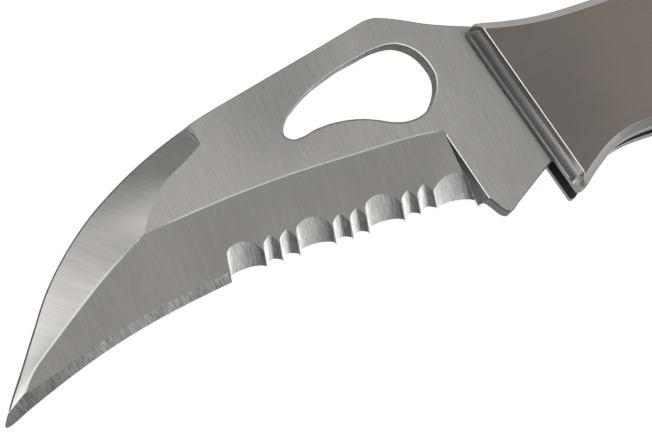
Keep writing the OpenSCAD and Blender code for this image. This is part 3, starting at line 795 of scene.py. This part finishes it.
low = curve(leaf, 10) + [np.array([73.5, 5.6]), np.array([76.0, 5.6])]
spring_line = cleaned(low + [p + np.array([0, spring_t]) for p in low[::-1]])
rs = 0.1
spring_me = stack("spring", spring_line, [(rs, -sz_), (0, -sz_ + rs), (0, sz_ - rs), (rs, sz_)], [0, 0, 0])
spring = finished("spring_leaf", spring_me, None, [spring_m], angle=30, replaces=["lock_spring"])
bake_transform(spring)

rear = curve(handle_rear, 8)
spacer_line = [np.array([66, 12.85])] + [p for p in rear[1:] if p[0] > 66] + [np.array(p, float) for p in (
    (95.4, -11.4), (93.8, -10.4), (93.3, -8), (93.3, 1.6), (92.3, 3.6), (90, 4.4), (72, 4.4), (70, 5), (70, 7.4),
    (67, 8.4), (66, 9.6))]
spacer_line = cleaned(spacer_line)
re_ = 0.08
spacer_me = stack("spacer", spacer_line, [(re_, -gz), (0, -gz + re_), (0, gz - re_), (re_, gz)], [0, 0, 0])


def slot_box(x0, x1, y0, y1, z):
    return stack("slot", [np.array(p, float) for p in ((x0, y0), (x1, y0), (x1, y1), (x0, y1))],
                 [(0, -z), (0, z)], [0], (0, 0))


spacer_me = cut(spacer_me, [slot_box(60, 76.02, 5.59, 6.51, sz_ + 0.01), slot_box(60, 71.2, 5.5, 6.65, sz_ + 0.01)]
                + [rod("hole", np.array(s), spacer_pin_r + 0.004, -5, 5, 0) for s in sp]
                + [rod("hole", lan, tube_r + 0.004, -5, 5, 0)], 1)
finished("spacer_body", spacer_me, "handle", [spacer_m], angle=30, replaces=["back_spacer"])

lip = 0.35
prof = [(lanyard_r + lip, hz), (tube_r, hz), (tube_r, -hz), (lanyard_r + lip, -hz)]
prof += [(lanyard_r + lip - lip * math.sin(math.radians(a)), -hz + lip * (1 - math.cos(math.radians(a)))) for a in range(15, 91, 15)]
prof += [(lanyard_r + lip - lip * math.sin(math.radians(a)), hz - lip * (1 - math.cos(math.radians(a)))) for a in range(90, 14, -15)]
tube_me = spun("tube", prof, 0, lan, seg=128)
finished("lanyard_tube_body", tube_me, "handle", [tube_m], angle=35, replaces=["lanyard_tube"])

pe = hz - 0.21
prof = [(0.0001, pe), (1.75, pe), (1.93, pe - 0.07), (1.995, pe - 0.22), (1.995, -pe + 0.22), (1.93, -pe + 0.07), (1.75, -pe), (0.0001, -pe)]
pin_me = spun("pivot", prof, 0, (0, 0), seg=96)
finished("pivot_pin_body", pin_me, "handle", [pin_m], angle=35, replaces=["pivot_pin"])

# CAD nodes that keep their own shape
for node, mat, slot in (("pivot_bushing", bushing_m, "bushing_steel"), ("mark_side_washer", washer_m, "washer_bronze"),
                        ("pile_side_washer", washer_m, "washer_bronze"), ("lever_pin", pin_m, "pin_steel"),
                        ("spacer_pins", pin_m, "pin_steel")):
    ob = frame["nodes"][node]
    ob.data.materials.clear()
    ob.data.materials.append(mat)

for m in [m for m in bpy.data.materials if m.name.startswith("work_")]:
    bpy.data.materials.remove(m)

# ------------------------------------------------------------------
# Floor, light and camera
# ------------------------------------------------------------------
fz_ = CAD_LO.z - 0.00003
floor_me = bpy.data.meshes.new("floor")
S = 3.0
floor_me.from_pydata([(-S, -S, fz_), (S, -S, fz_), (S, S, fz_), (-S, S, fz_)], [], [(0, 1, 2, 3)])
floor = bpy.data.objects.new("floor", floor_me)
scene.collection.objects.link(floor)
fm = bpy.data.materials.new("floor_pale")
g = Nodes(fm)
out = g.add("ShaderNodeOutputMaterial")
dif = g.add("ShaderNodeBsdfDiffuse")
dif.inputs["Color"].default_value = (0.86, 0.86, 0.86, 1)
emi = g.add("ShaderNodeEmission")
emi.inputs["Color"].default_value = (1, 1, 1, 1)
emi.inputs["Strength"].default_value = 0.80
seen = g.add("ShaderNodeAddShader")
g.link(dif.outputs[0], seen.inputs[0])
g.link(emi.outputs[0], seen.inputs[1])
glow = g.add("ShaderNodeEmission")
glow.inputs["Color"].default_value = (1, 0.99, 0.97, 1)
glow.inputs["Strength"].default_value = 0.264
dim = g.add("ShaderNodeAddShader")
g.link(dif.outputs[0], dim.inputs[0])
g.link(glow.outputs[0], dim.inputs[1])
both = g.add("ShaderNodeMixShader")
g.link(g.add("ShaderNodeLightPath").outputs["Is Camera Ray"], both.inputs[0])
g.link(dim.outputs[0], both.inputs[1])
g.link(seen.outputs[0], both.inputs[2])
clear = g.add("ShaderNodeBsdfTransparent")
geo = g.add("ShaderNodeNewGeometry")
mix = g.add("ShaderNodeMixShader")
g.link(geo.outputs["Backfacing"], mix.inputs[0])
g.link(both.outputs[0], mix.inputs[1])
g.link(clear.outputs[0], mix.inputs[2])
g.link(mix.outputs[0], out.inputs["Surface"])
floor_me.materials.append(fm)

world = bpy.data.worlds.new("studio")
scene.world = world
g = Nodes(world)
out = g.add("ShaderNodeOutputWorld")
bg = g.add("ShaderNodeBackground")
g.link(bg.outputs[0], out.inputs["Surface"])
dirn = g.add("ShaderNodeTexCoord").outputs["Generated"]
sep = g.add("ShaderNodeSeparateXYZ")
g.link(dirn, sep.inputs[0])


def blob(centre, width, strength):
    c = Vector(centre).normalized()
    dot = g.add("ShaderNodeVectorMath", operation="DOT_PRODUCT")
    g.link(dirn, dot.inputs[0])
    dot.inputs[1].default_value = c
    x = g.math("MULTIPLY", g.math("SUBTRACT", 1.0, dot.outputs["Value"]), -2.0 / width ** 2)
    return g.math("MULTIPLY", g.math("POWER", math.e, x), strength)


low = g.remap(sep.outputs[2], 0.18, 0.62, 1, 0, smooth=True)
round_ = None
for axis, way, strength in ((0, 1, 1.34), (0, -1, 0.26), (1, 1, 1.32), (1, -1, 0.22)):
    side = g.math("MAXIMUM", g.math("MULTIPLY", sep.outputs[axis], way), 0.0)
    side = g.math("MULTIPLY", g.math("POWER", side, 2.0), strength)
    round_ = side if round_ is None else g.math("ADD", round_, side)
total = g.math("ADD", g.math("MULTIPLY", low, round_), g.math("MULTIPLY", g.math("SUBTRACT", 1.0, low), 0.104))
for x, y, width, strength in ((-0.08, 0.05, 0.10, 1.35), (-0.08, 0.05, 0.20, 0.84), (-0.12, 0.30, 0.16, 1.15),
                              (0.13, 0.08, 0.14, 0.60), (0.10, -0.12, 0.16, 1.5), (0.50, 0.08, 0.20, 0.27),
                              (0.60, -0.45, 0.30, 0.81), (0.25, -0.40, 0.20, 0.32)):
    total = g.math("ADD", total, blob((x, y, math.sqrt(1 - x * x - y * y)), width, strength))
g.link(total, bg.inputs["Strength"])
bg.inputs["Color"].default_value = (1, 1, 0.995, 1)


def area(name, place, target, size, power):
    li = bpy.data.lights.new(name, "AREA")
    li.shape, li.size, li.energy = "DISK", size, power
    ob = bpy.data.objects.new(name, li)
    scene.collection.objects.link(ob)
    ob.location = place
    ob.rotation_mode = "QUATERNION"
    ob.rotation_quaternion = (Vector(target) - Vector(place)).to_track_quat("-Z", "Y")
    return ob


mid = (CAD_LO + CAD_HI) / 2
area("fill_soft", (mid.x + 0.5, mid.y - 0.7, 0.5), mid, 0.6, 0.6)

cam = bpy.data.cameras.new("camera")
cam.lens, cam.sensor_width, cam.sensor_fit = 196, 36, "HORIZONTAL"
cam.clip_start, cam.clip_end = 0.01, 20
cam_ob = bpy.data.objects.new("camera", cam)
scene.collection.objects.link(cam_ob)
right = Vector((0.89051, -0.41525, 0.18588))
upv = Vector((0.36968, 0.89859, 0.23637))
back = right.cross(upv).normalized()
upv = back.cross(right).normalized()
right.normalize()
rot = Matrix((right, upv, back)).transposed().to_4x4()
cam_ob.matrix_world = Matrix.Translation((-0.27183, -0.07044, 0.47686)) @ rot
scene.camera = cam_ob
scene.view_settings.view_transform = "Standard"
scene.view_settings.look = "None"
